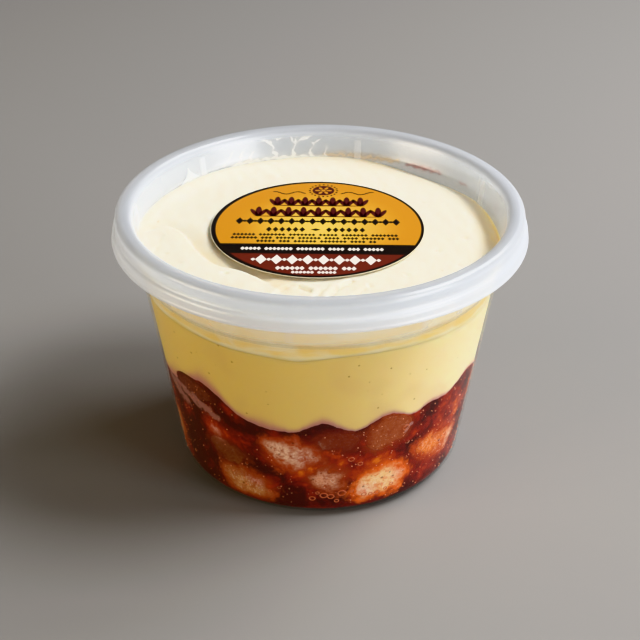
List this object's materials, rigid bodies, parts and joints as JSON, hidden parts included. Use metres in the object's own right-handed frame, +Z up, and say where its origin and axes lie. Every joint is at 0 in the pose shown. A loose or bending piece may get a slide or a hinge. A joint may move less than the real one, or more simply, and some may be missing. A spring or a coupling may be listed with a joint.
{
  "type": "tub of apricot pudding",
  "caption": "Layered apricot pudding of fruit compote, custard and whipped cream, in a round clear deli tub with its press-on lid.",
  "frame": {"origin": "middle of the tub's foot ring, on the surface it stands on", "axes": "+Z up along the tub's axis, -Y towards the front, +X to the right seen from the front"},
  "size_m": [0.1182, 0.1182, 0.0793],
  "materials": {
    "tub_plastic": "clear moulded polypropylene, glossy, a little hazy",
    "lid_plastic": "clear window with a milky moulded rim, glossy",
    "label_paper": "printed and varnished paper, semi-gloss",
    "whipped_cream": "soft, smooth and matte",
    "custard": "smooth set custard against the clear wall",
    "compote": "dark translucent jelly with small bubbles",
    "sponge": "open crumb soaked with syrup",
    "apricot": "soft stewed fruit, fine mottling"
  },
  "bodies": {
    "root": {"tub": "tub_plastic", "lid": "lid_plastic", "label": "label_paper", "cream": "whipped_cream", "custard": "custard", "compote": "compote", "sponge_middle": "sponge", "sponge_small": "sponge", "sponge_left": "sponge", "sponge_right": "sponge", "sponge_side": "sponge", "sponge_far_left": "sponge", "sponge_scrap": "sponge", "apricot_right": "apricot", "apricot_left": "apricot", "apricot_low": "apricot", "apricot_middle": "apricot", "sponge_far_1": "sponge", "apricot_far_2": "apricot", "sponge_far_3": "sponge", "sponge_far_4": "sponge", "apricot_far_5": "apricot", "sponge_far_6": "sponge", "sponge_far_7": "sponge", "apricot_far_8": "apricot", "sponge_far_9": "sponge"}
  },
  "joints": []
}
